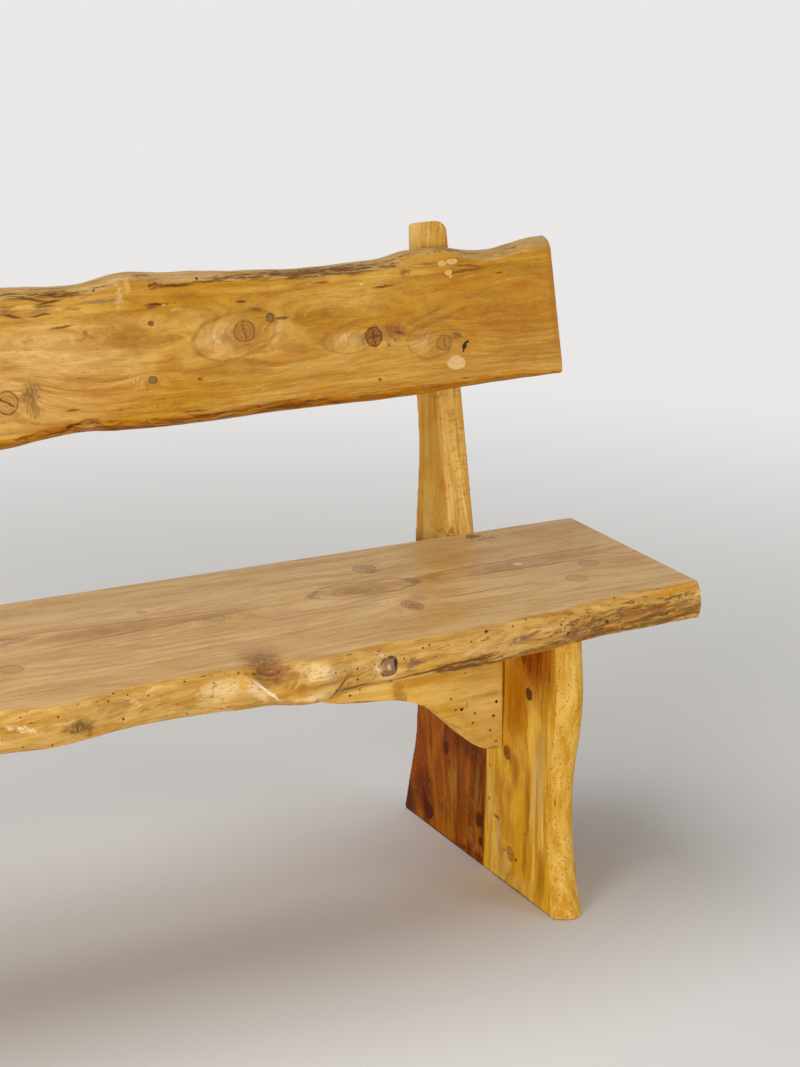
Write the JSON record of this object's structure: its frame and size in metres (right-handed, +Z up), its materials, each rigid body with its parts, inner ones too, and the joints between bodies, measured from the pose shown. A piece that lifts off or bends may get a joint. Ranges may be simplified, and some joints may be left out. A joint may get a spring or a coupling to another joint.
{
  "type": "rustic log bench",
  "caption": "Rustic bench with a live-edge slab seat, a raked live-edge back slab on posts and board legs with ogee brackets.",
  "frame": {"origin": "on the floor, in the middle of the bench's bounding box", "axes": "+X along the bench, front faces -Y, +Z up"},
  "size_m": [1.5, 0.5016, 0.832],
  "materials": {
    "seat_wood": "satin clear varnish",
    "back_wood": "satin clear varnish",
    "leg_wood": "satin clear varnish",
    "post_wood": "satin clear varnish",
    "bracket_wood": "satin clear varnish",
    "plug_wood": "satin clear varnish",
    "filler": "smooth wood filler",
    "dowel_wood": "plain beech",
    "screw_steel": "zinc plated"
  },
  "bodies": {
    "root": {"seat_slab": "seat_wood", "backrest_slab": "back_wood", "leg_front_board_right": "leg_wood", "leg_front_board_left": "leg_wood", "leg_rear_post_right": "post_wood", "leg_rear_post_left": "post_wood", "seat_bracket_right": "bracket_wood", "seat_bracket_left": "bracket_wood", "backrest_screws": "screw_steel", "lower_screw_plugs": "plug_wood", "upper_filler_plugs": "filler", "leg_seam_tongues": "dowel_wood", "bracket_dowels": "dowel_wood"}
  },
  "joints": []
}
